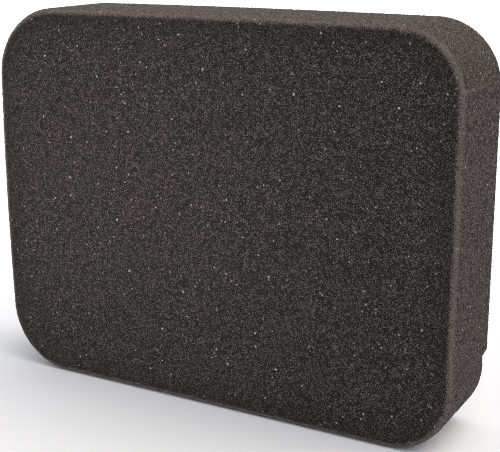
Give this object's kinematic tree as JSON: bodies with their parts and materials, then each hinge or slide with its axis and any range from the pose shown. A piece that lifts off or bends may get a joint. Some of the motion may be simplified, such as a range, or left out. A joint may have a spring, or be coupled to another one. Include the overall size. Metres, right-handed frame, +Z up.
{
  "type": "foam air filter element",
  "caption": "Rounded rectangular block of dark open-cell foam that filters the intake air of a small engine.",
  "frame": {"origin": "middle of the underside, with the element standing on a long edge", "axes": "+X along the width, +Y through the thickness from the air entry face to the seating face, +Z up the height"},
  "size_m": [0.15, 0.03, 0.115],
  "materials": {
    "filter_foam": "open-cell reticulated polyurethane foam, dark charcoal, dry"
  },
  "bodies": {
    "root": {"foam_element": "filter_foam"}
  },
  "joints": []
}
